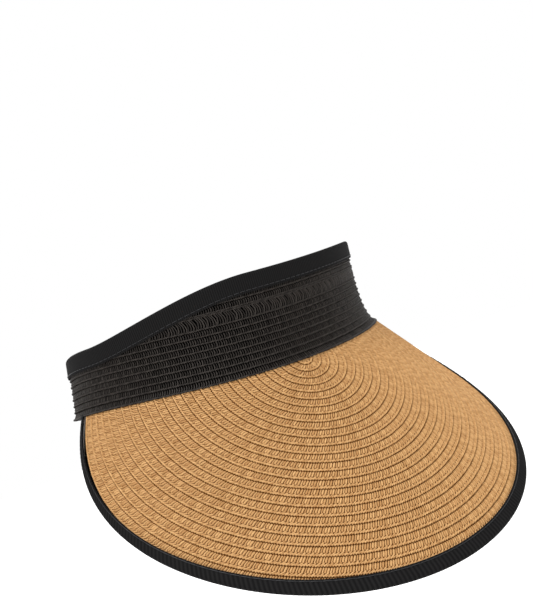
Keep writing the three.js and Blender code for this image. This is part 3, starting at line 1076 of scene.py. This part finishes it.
@dataclass
class Headband:
    """Thirteen rows of black braid, bound along the top and lined with a sweatband."""

    shape: BandShape
    weaver: Weaver
    tapes: Tapes = field(default_factory=Tapes)
    row_pitch: float = 3.35
    rows: int = 13
    shell_row: int = 9
    least_row: float = 0.8
    tape_reach: float = 8.0
    sweatband_height: float = 24.0
    sweatband_thickness: float = 0.7
    end_reach: float = 8.0
    sewn_in: float = 1.2
    bend: float = 14.0
    outer_base: float = 0.6
    outer_relief: float = 0.82
    inner_base: float = 0.72
    inner_relief: float = 0.6
    overhang: float = 1.0
    overhang_from: float = 0.8
    overhang_run: float = 2.2
    tucked: float = 0.6
    core_faces: tuple[float, float] = (-0.4, 0.12)
    ribbon_stitches: tuple[float, float] = (0.06, 0.94)
    ribbon_stitch_share: float = 0.04
    end_slack: float = 0.5
    end_proud: float = 0.2
    end_sewn_in: float = 1.6

    def __post_init__(self) -> None:
        """Work out where the end tape folds."""
        inside = (self.shape.braid + self.shape.layer_gap + self.sweatband_thickness) / 2
        self.end_inside = inside + self.shape.layer_gap
        self.end_middle = (self.shape.braid - self.shape.layer_gap - self.sweatband_thickness) / 2
        self.end_fold = self.shape.wing_end - self.end_inside - self.shape.tape

    def row_place(self, k: int) -> Place:
        """Where row k's cells go: along the band, down from the row's top, out of its face."""
        top = k * self.row_pitch

        def place(s: np.ndarray, down: np.ndarray, raised: np.ndarray) -> np.ndarray:
            """Surface points, cut off where the binding starts."""
            height = np.minimum(top - down, self.shape.braid_top(s) + self.tucked)
            out = np.where(raised > 0, self.outer_base + self.outer_relief * raised,
                           self.inner_base + self.inner_relief * raised)
            if k == 1:
                past = smooth((down - self.overhang_from) / self.overhang_run)
                out = out + (raised > 0) * self.overhang * past
            return self.shape.point(s, height, out)
        return place

    def row_span(self, k: int, start: float, end: float) -> tuple[float, float] | None:
        """The stretch of row k between two stations that stands clear of the top binding."""
        s = np.linspace(start, end, 600)
        clear = s[self.shape.braid_top(s) > (k - 1) * self.row_pitch + self.least_row]
        return (float(clear[0]), float(clear[-1])) if len(clear) > 20 else None

    def braid(self, draft: Draft, k: int, start: float, end: float) -> bool:
        """Lay row k between two stations.

        Args:
            draft: The mesh that it joins.
            k: The row, from 1 at the seam.
            start: First station.
            end: Last station.

        Returns:
            Whether there is any of the row there.
        """
        span = self.row_span(k, start, end)
        if span is None:
            return False
        place = self.row_place(k)
        faces = [(Cell.BAND, True)]
        if k != self.shell_row + 1:
            faces.append((Cell.SHELL if k == self.shell_row else Cell.BAND, False))
        for cell, flip in faces:
            self.weaver.line(draft, cell.label, cell.strands, span, cell.pitch, BLACK_STRAND,
                             place, DRIFT, flip)
        # The core's dark finish paints the shade in the gaps between the strands.
        core(draft, span, self.row_pitch, *self.core_faces, BLACK_SHADED_CORE, place)
        return True

    def binding(self, draft: Draft, start: float, end: float) -> None:
        """The tape folded over the top edge, with its line of stitches."""
        section = fold_section(self.tape_reach, self.shape.tape_inside, self.shape.tape, 5, 9)
        middle = self.shape.braid / 2

        def place(s: np.ndarray, past: np.ndarray, out: np.ndarray) -> np.ndarray:
            """Past the braid's top edge, and out from the middle of the braid."""
            return self.shape.point(s, self.shape.braid_top(s) + past, middle + out)
        self.tapes.along(draft, self.tapes.stations(start, end), section, GROSGRAIN, place)
        face = self.shape.tape_inside + self.shape.tape
        for side, flip in ((1, False), (-1, True)):
            self.weaver.stitches(
                draft, (start, end),
                lambda s, v, w, side=side: place(s, v - self.tape_reach + self.sewn_in, side * face + w),
                flip)

    def sweatband(self, draft: Draft, start: float, end: float) -> None:
        """The ribbon inside, and the stitches along its head."""
        lowest, inner = GAP, -self.shape.layer_gap - self.sweatband_thickness

        def head(s: np.ndarray) -> np.ndarray:
            """Height of the ribbon's upper edge."""
            return np.minimum(self.sweatband_height, self.shape.braid_top(s) - self.tape_reach - GAP)

        def place(s: np.ndarray, share: np.ndarray, out: np.ndarray) -> np.ndarray:
            """A share of the ribbon's height, and out from its inner face."""
            return self.shape.point(s, lerp(lowest, head(s), share), inner + out)
        section = strip_section(1.0, self.sweatband_thickness, 9, 0.03)
        self.tapes.along(draft, self.tapes.stations(start, end), section, RIBBON, place)
        for up in self.ribbon_stitches:
            self.weaver.stitches(draft, (start, end),
                                 lambda s, v, w, up=up: place(s, up + v * self.ribbon_stitch_share, w),
                                 True)

    def front(self) -> None:
        """Build the front's pieces and put them on their body."""
        edge = self.shape.temple
        for k in range(1, self.rows + 1):
            draft = Draft()
            if self.braid(draft, k, -edge, edge):
                dress(draft.build(f"band_braid_{k:02d}"), "front", BLACK_STRAND, f"band_row_{k:02d}")
        draft = Draft()
        self.binding(draft, -edge, edge)
        dress(draft.build("top_tape"), "front", GROSGRAIN, "front_top_binding")
        draft = Draft()
        self.sweatband(draft, -edge, edge)
        dress(draft.build("sweatband_ribbon"), "front", RIBBON, "front_sweatband")

    def wing(self, side: int, name: str) -> None:
        """Build one wing's pieces; each bends where the wing meets the front."""
        shape = self.shape

        def span(start: float, end: float) -> tuple[float, float]:
            """Stations of this side, in rising order."""
            return (start, end) if side > 0 else (-end, -start)

        draft = Draft()
        for k in range(1, self.rows + 1):
            self.braid(draft, k, *span(shape.temple, self.end_fold))
        rows = draft.build(f"{name}_wing_rows")
        draft = Draft()
        self.binding(draft, *span(shape.temple, self.end_fold))
        tape = draft.build(f"{name}_wing_tape")
        draft = Draft()
        self.sweatband(draft, *span(shape.temple, self.end_fold))
        ribbon = draft.build(f"{name}_wing_ribbon")
        bend = [shape.seam_spot(side * s) for s in (shape.temple, shape.temple + self.bend)]
        for piece, finish, node in ((rows, BLACK_STRAND, "braid"), (tape, GROSGRAIN, "top_binding"),
                                    (ribbon, RIBBON, "sweatband")):
            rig.blend(piece, "front", f"{name}_wing", *bend)
            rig.replaces(piece, f"{name}_wing_{node}")
            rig.slot(piece, finish.slot)
        self.end_tape(side, name)

    def end_tape(self, side: int, name: str) -> None:
        """The strap cloth folded round the end of the wing."""
        section = fold_section(self.end_reach, self.end_inside + self.end_slack, self.shape.tape, 5, 9)
        levels = np.linspace(0, 1, 12)
        fold = np.array([[(p, v, w) for p, w in section] for v in levels])
        s = side * (self.end_fold + fold[..., 0].ravel())
        height = lerp(GAP, self.shape.height(s) + self.end_proud, fold[..., 1].ravel())
        points = self.shape.point(s, height, self.end_middle + fold[..., 2].ravel())
        cloth = np.column_stack([height, np.tile(section_lengths(section), len(levels))])
        quads = swept(fold)
        draft = Draft()
        draft.add(points, quads, STRAP_CLOTH, cloth=cloth)
        face = self.end_inside + self.end_slack + self.shape.tape
        tall = float(self.shape.height(np.array([side * self.end_fold]))[0])
        for out, flip in ((face, False), (-face, True)):
            self.weaver.stitches(
                draft, (self.sewn_in, tall - self.sewn_in),
                lambda h, v, w, out=out: self.shape.point(
                    side * (self.end_fold - self.end_reach + self.end_sewn_in + v), h,
                    self.end_middle + out + w),
                flip)
        dress(draft.build(f"{name}_end_fold"), f"{name}_wing", STRAP_CLOTH, f"{name}_wing_end_tape")


# ---- The brim ------------------------------------------------------------------------------


@dataclass
class Brim:
    """Twenty-seven rows of tan braid inside a ribbed binding."""

    shape: BrimShape
    weaver: Weaver
    tapes: Tapes = field(default_factory=lambda: Tapes(0.4))
    tape_reach: float = 4.4
    sewn_in: float = 0.9
    stitch_pitch: float = 2.56
    least_radius: float = 0.15
    top_base: float = 0.6
    top_relief: float = 0.82
    under_base: float = 0.75
    under_relief: float = 0.7
    table: int = 900
    rib_height: float = 0.05
    rib_spacing: int = 3
    row_lap: float = 1.02
    core_faces: tuple[float, float] = (-0.45, 0.15)
    core_step: float = 2.0
    least_core_steps: int = 24

    def row_place(self, k: int) -> tuple[Place, tuple[float, float]]:
        """Where row k's cells go.

        Args:
            k: The row, from 1 at the front of the seam.

        Returns:
            A function of the distances along, out from the row's inner edge and raised, and the
            row's start and end along its middle.
        """
        shape = self.shape
        inner = (k - 1) * shape.pitch
        middle = inner + shape.pitch / 2
        radii = np.maximum(inner + np.linspace(0, shape.pitch * self.row_lap, 4), self.least_radius)
        tables = [shape.circle(radius, shape.rows_centre, self.table) for radius in radii]
        start = min(angle[0] for _, angle in tables) * middle
        end = max(angle[-1] for _, angle in tables) * middle

        def place(along: np.ndarray, across: np.ndarray, raised: np.ndarray) -> np.ndarray:
            """Surface points, cut off at the seam and at the outline."""
            angle = along / middle
            radius = np.maximum(inner + across, self.least_radius)
            at = np.clip((radius - radii[0]) / (radii[-1] - radii[0]) * 3, 0, 2.999)
            low = at.astype(int)
            stations = np.stack([np.interp(angle, a, s) for s, a in tables])
            number = np.arange(len(angle))
            s = lerp(stations[low, number], stations[low + 1, number], at - low)
            down = np.minimum(shape.down_to(s, radius, shape.rows_centre),
                              shape.down_to(s, np.full_like(s, shape.braid_edge), shape.outline_centre))
            out = np.where(raised > 0, self.top_base + self.top_relief * raised,
                           self.under_base + self.under_relief * raised)
            return shape.point(s, np.maximum(down, shape.start), out)
        return place, (start, end)

    def row(self, k: int) -> bpy.types.Object:
        """Build one row."""
        place, span = self.row_place(k)
        cell = Cell.BRIM
        draft = Draft()
        for flip in (False, True):
            self.weaver.line(draft, cell.label, cell.strands, span, cell.pitch, TAN_STRAND,
                             place, DRIFT, flip)
        step = min(self.core_step, (span[1] - span[0]) / self.least_core_steps)
        # The core's dark finish paints the shade in the gaps between the strands.
        core(draft, span, self.shape.pitch, *self.core_faces, TAN_SHADED_CORE, place, step)
        return draft.build(f"brim_braid_{k:02d}")

    def binding(self) -> bpy.types.Object:
        """The ribbed tape folded over the outline, with the stitches that hold it."""
        shape = self.shape
        section = fold_section(self.tape_reach, shape.edge_inside, shape.tape, 4, 9)
        start, end = (shape.meeting(shape.edge_centre, shape.outline_centre, side) for side in (-1, 1))

        def place(s: np.ndarray, past: np.ndarray, out: np.ndarray) -> np.ndarray:
            """Past the braid's edge, and out from the middle of the braid."""
            down = shape.down_to(s, np.full_like(s, shape.edge_centre), shape.outline_centre) + past
            return shape.point(s, np.maximum(down, shape.start), shape.thickness / 2 + out)

        def ribbed(s: np.ndarray, past: np.ndarray, out: np.ndarray) -> np.ndarray:
            """The same, with the tape's cords standing up."""
            high = np.hypot(np.maximum(past, 0), out) > shape.edge_inside + shape.tape / 2
            number = np.round((s - start) / self.tapes.step).astype(int)
            rib = np.where(number % self.rib_spacing == 0, -1.0, 1.0)
            return place(s, past, out + np.sign(out) * high * rib * self.rib_height)
        draft = Draft()
        self.tapes.along(draft, self.tapes.stations(start, end), section, GROSGRAIN, ribbed)
        face = shape.edge_inside + shape.tape
        for side, flip in ((1, False), (-1, True)):
            self.weaver.stitches(
                draft, (start, end),
                lambda s, v, w, side=side: place(s, v - self.tape_reach + self.sewn_in, side * face + w),
                flip, self.stitch_pitch)
        return draft.build("brim_edge_tape")

    def build(self) -> None:
        """Build the brim and put it on the front."""
        for k in range(1, self.shape.rows + 1):
            dress(self.row(k), "front", TAN_STRAND, f"brim_row_{k:02d}")
        dress(self.binding(), "front", GROSGRAIN, "brim_edge_binding")


# ---- Straps and closure --------------------------------------------------------------------


@dataclass
class Closure:
    """Two webbing straps that lap behind the head and hold by hook and loop."""

    shape: BandShape
    weaver: Weaver
    end_fold: float
    tapes: Tapes = field(default_factory=lambda: Tapes(1.5))
    thickness: float = 1.6
    foot: float = 1.0
    left_height: float = 30.0
    right_height: float = 25.5
    left_offset: float = 1.2
    right_offset: float = -3.1
    strap_gap: float = 1.6
    lap: float = 20.0
    hinge: float = 22.0
    corner: float = 7.0
    patch_thickness: float = 0.9
    patch_foot: float = 5.0
    patch_height: float = 18.0
    hook_span: tuple[float, float] = (-17.0, 18.0)
    loop_span: tuple[float, float] = (-24.0, 17.0)
    hook_pitch: float = 1.5
    loop_pitch: float = 1.3
    plate_share: float = 0.55
    nap_share: float = 0.45
    inward_lift: float = 0.45
    nap_scale: float = 0.7
    nap_drift: float = 0.12
    ease_short: float = 2.0
    corner_gap: float = 0.8
    corner_share: float = 0.4
    stitch_shares: tuple[float, float] = (0.07, 0.93)
    tuck: float = 0.4
    root_bend: float = 12.0
    peel_bend: float = 10.0

    def __post_init__(self) -> None:
        """Work out the stations of the straps."""
        self.root = self.shape.wing_end + self.strap_gap
        self.half = self.shape.opening.half_length
        self.lap_end = self.half + self.lap
        self.hinge_station = self.half - self.hinge

    def place(self, height: float, offset: float, end: float | None = None) -> Place:
        """Where a strap's section goes; its free end has rounded corners."""
        flat = self.shape.flat_start

        def at(s: np.ndarray, share: np.ndarray, out: np.ndarray) -> np.ndarray:
            """A share of the strap's height, and out from its inner face."""
            reach = np.inf if end is None else np.abs(end - s)
            into = np.clip(self.corner - reach, 0, self.corner)
            cut = self.corner - np.sqrt(self.corner**2 - into**2)
            rise = lerp(self.foot + cut, self.foot + height - cut, share)
            eased = offset * smooth((np.abs(s) - self.root) / (flat - self.ease_short - self.root))
            return self.shape.point(s, rise, eased + out)
        return at

    def strap(self, name: str, span: tuple[float, float], height: float, offset: float,
              end: float | None = None) -> bpy.types.Object:
        """One length of strap with a line of stitches along each edge."""
        place = self.place(height, offset, end)
        draft = Draft()
        s = self.tapes.stations(*span)
        if end is not None:
            near = self.corner * (1 - np.cos(np.linspace(0, math.pi / 2, 10)))
            near = end - math.copysign(1, end) * (near + 0.01)
            s = np.sort(np.concatenate([s[np.abs(s - end) > self.corner + self.corner_gap], near]))
        section = strip_section(height, self.thickness, 13, 0.5)
        scaled = section / (height, 1.0)
        self.tapes.along(draft, s, scaled, STRAP_CLOTH, place)
        low, high = s[0], s[-1]
        if end is not None:
            short = self.corner * self.corner_share
            low, high = (low, high - short) if end > 0 else (low + short, high)
        for share in self.stitch_shares:
            for out, flip in ((self.thickness, False), (0.0, True)):
                self.weaver.stitches(
                    draft, (low, high),
                    lambda s, v, w, u=share, o=out: place(s, u + v / height, o + w), flip)
        return draft.build(name)

    def patch(self, name: str, span: tuple[float, float], inner: float, outward: bool,
              nap: Sequence[Strand], finish: Finish, pitch: float) -> bpy.types.Object:
        """A hook or loop patch: a thin woven plate with its nap on one face."""
        low = self.shape.opening.seam_rise + self.patch_foot
        back = self.shape.opening.back_reach + inner

        def place(x: np.ndarray, up: np.ndarray, out: np.ndarray) -> np.ndarray:
            """Across the back, up from the patch's foot and out from its inner face."""
            return np.column_stack([x, back + out, low + up])
        draft = Draft()
        plate = strip_section(self.patch_height, self.patch_thickness * self.plate_share, 6, 0.5)
        plate[:, 1] += 0.0 if outward else self.patch_thickness * self.nap_share
        self.tapes.along(draft, np.linspace(*span, 12), plate, finish, place)
        levels = np.arange(1.0, self.patch_height - 0.9, pitch)
        lift = self.patch_thickness * 0.5 if outward else self.inward_lift
        for level in levels:
            self.weaver.line(
                draft, name, nap, (span[0] + 1, span[1] - 1), pitch,
                finish, lambda x, v, w, z=level: place(x, v + z, lift + w * self.nap_scale),
                self.nap_drift, not outward)
        return draft.build(name)

    def build(self) -> None:
        """Build the straps, the tab and the patches; the straps, the tab and the hook patch bend at their joints, and
        the loop patch rides its strap.
        """
        seam = self.shape.seam_spot
        root = self.end_fold + self.tuck
        left = self.strap("left_webbing", (root, self.hinge_station), self.left_height, self.left_offset)
        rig.blend(left, "left_wing", "left_strap", seam(root), seam(self.root + self.root_bend))
        right = self.strap("right_webbing", (-self.lap_end, -root), self.right_height,
                           self.right_offset, -self.lap_end)
        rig.blend(right, "right_wing", "right_strap", seam(-root), seam(-self.root - self.root_bend))
        tab = self.strap("tab_webbing", (self.hinge_station, self.lap_end), self.left_height,
                         self.left_offset, self.lap_end)
        hooks = self.patch("hook_face", self.hook_span, self.left_offset - GAP - self.patch_thickness,
                           False, HOOK, HOOKS, self.hook_pitch)
        back = self.shape.opening.back_reach
        for piece in (tab, hooks):
            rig.blend(piece, "left_strap", "left_tab", (self.hinge * MM, back * MM, 0),
                     ((self.hinge - self.peel_bend) * MM, back * MM, 0))
        loops = self.patch("loop_face", self.loop_span, self.right_offset + self.thickness + GAP,
                           True, LOOP, LOOPS, self.loop_pitch)
        dress(loops, "right_strap", LOOPS, "loop_patch")
        for piece, node, finish in ((left, "left_strap", STRAP_CLOTH), (right, "right_strap", STRAP_CLOTH),
                                    (tab, "left_strap_tab", STRAP_CLOTH), (hooks, "hook_patch", HOOKS)):
            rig.replaces(piece, node)
            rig.slot(piece, finish.slot)


def dress(piece: bpy.types.Object, body: str, finish: Finish, *nodes: str) -> None:
    """Put a finished piece on its body in place of CAD nodes."""
    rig.ride(piece, body)
    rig.replaces(piece, *nodes)
    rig.slot(piece, finish.slot)


# ---- Studio --------------------------------------------------------------------------------


@dataclass
class Studio:
    """A white room: floor, soft lamps and the camera."""

    floor: float = -0.22
    target: tuple[float, float, float] = (0.0, -0.060, -0.015)
    azimuth: float = math.radians(-29.56)
    elevation: float = math.radians(-4.73)
    roll: float = math.radians(-19.66)
    distance: float = 0.41863
    slide: tuple[float, float] = (-0.01347, 0.04774)
    lens: float = 50.0
    world: float = 1.0
    overhead: float = 1.7
    overhead_spread: float = 0.35
    overhead_from: tuple[float, float, float] = (-0.35, -0.12, 1.0)

    def axes(self) -> tuple[Vector, Vector, Vector]:
        """The camera's right, up and backward directions."""
        az, el = self.azimuth, self.elevation
        back = Vector((math.sin(az) * math.cos(el), -math.cos(az) * math.cos(el), math.sin(el)))
        right = Vector((math.cos(az), math.sin(az), 0))
        up = back.cross(right)
        across = right * math.cos(self.roll) + up * math.sin(self.roll)
        upward = up * math.cos(self.roll) - right * math.sin(self.roll)
        return across, upward, back

    def camera(self) -> None:
        """Place the camera."""
        across, upward, back = self.axes()
        slide = across * self.slide[0] + upward * self.slide[1]
        spot = Vector(self.target) + back * self.distance + slide
        data = bpy.data.cameras.new("camera")
        data.lens = self.lens
        data.sensor_width = 36.0
        data.clip_start = 0.01
        made = bpy.data.objects.new("camera", data)
        bpy.context.scene.collection.objects.link(made)
        turn = Matrix((across, upward, back)).transposed().to_4x4()
        made.matrix_world = Matrix.Translation(spot) @ turn
        bpy.context.scene.camera = made

    def lamp(self, name: str, spot: tuple[float, float, float], power: float, size: float) -> None:
        """A soft square lamp turned to the visor."""
        data = bpy.data.lights.new(name, "AREA")
        data.energy = power
        data.size = size
        made = bpy.data.objects.new(name, data)
        bpy.context.scene.collection.objects.link(made)
        aim = Vector(self.target) - Vector(spot)
        made.matrix_world = Matrix.Translation(spot) @ aim.to_track_quat("-Z", "Y").to_matrix().to_4x4()

    def sun(self) -> None:
        """A wide soft light from nearly overhead, so that each row shades the next."""
        data = bpy.data.lights.new("overhead", "SUN")
        data.energy = self.overhead
        data.angle = self.overhead_spread
        made = bpy.data.objects.new("overhead", data)
        bpy.context.scene.collection.objects.link(made)
        turn = Vector(self.overhead_from).to_track_quat("Z", "Y").to_matrix().to_4x4()
        made.matrix_world = Matrix.Translation((0, 0, 1)) @ turn

    def build(self) -> None:
        """Set the floor, the lamps, the surroundings and the camera."""
        mesh = bpy.data.meshes.new("floor")
        size = 6.0
        corners = [(x * size, y * size, self.floor) for x, y in ((-1, -1), (1, -1), (1, 1), (-1, 1))]
        mesh.from_pydata(corners, [], [(0, 1, 2, 3)])
        mesh.materials.append(FLOOR.material())
        floor = bpy.data.objects.new("floor", mesh)
        bpy.context.scene.collection.objects.link(floor)
        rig.stage(floor)
        surroundings = bpy.data.worlds.new("white room")
        surroundings.use_nodes = True
        backdrop = surroundings.node_tree.nodes["Background"]
        backdrop.inputs["Color"].default_value = (1, 1, 1, 1)
        backdrop.inputs["Strength"].default_value = self.world
        bpy.context.scene.world = surroundings
        bpy.context.scene.view_settings.view_transform = "Standard"
        self.sun()
        self.lamp("fill", (-0.9, -1.1, 0.3), 3.5, 0.5)
        self.lamp("rim", (0.3, 1.1, 0.9), 3.0, 0.6)
        self.camera()


def measure(report: list[list[list[float]]]) -> None:
    """Note the shown object's corners."""
    report.append([[float(value) for value in corner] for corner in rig.bounds()])


def main() -> None:
    """Load the frame, build the visor round it, and set up the studio."""
    logging.basicConfig(level=logging.INFO, format="%(name)s: %(message)s")
    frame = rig.load()
    sizes: list[list[list[float]]] = []
    measure(sizes)
    weaver = Weaver(Repeater())
    band = BandShape()
    headband = Headband(band, weaver)
    Brim(BrimShape(temple=band.temple), weaver).build()
    log.info("brim done")
    headband.front()
    headband.wing(1, "left")
    headband.wing(-1, "right")
    log.info("headband done")
    Closure(band, weaver, headband.end_fold).build()
    cord = frame["nodes"]["brim_edge_cord"]
    cord.data.materials.clear()
    cord.data.materials.append(EDGE_CORD.material())
    weaver.clear()
    Studio().build()
    measure(sizes)
    with open("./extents.json", "w", encoding="utf-8") as file:
        json.dump(sizes, file)
    log.info("size before %s and after %s", *sizes)


if __name__ == "__main__":
    main()
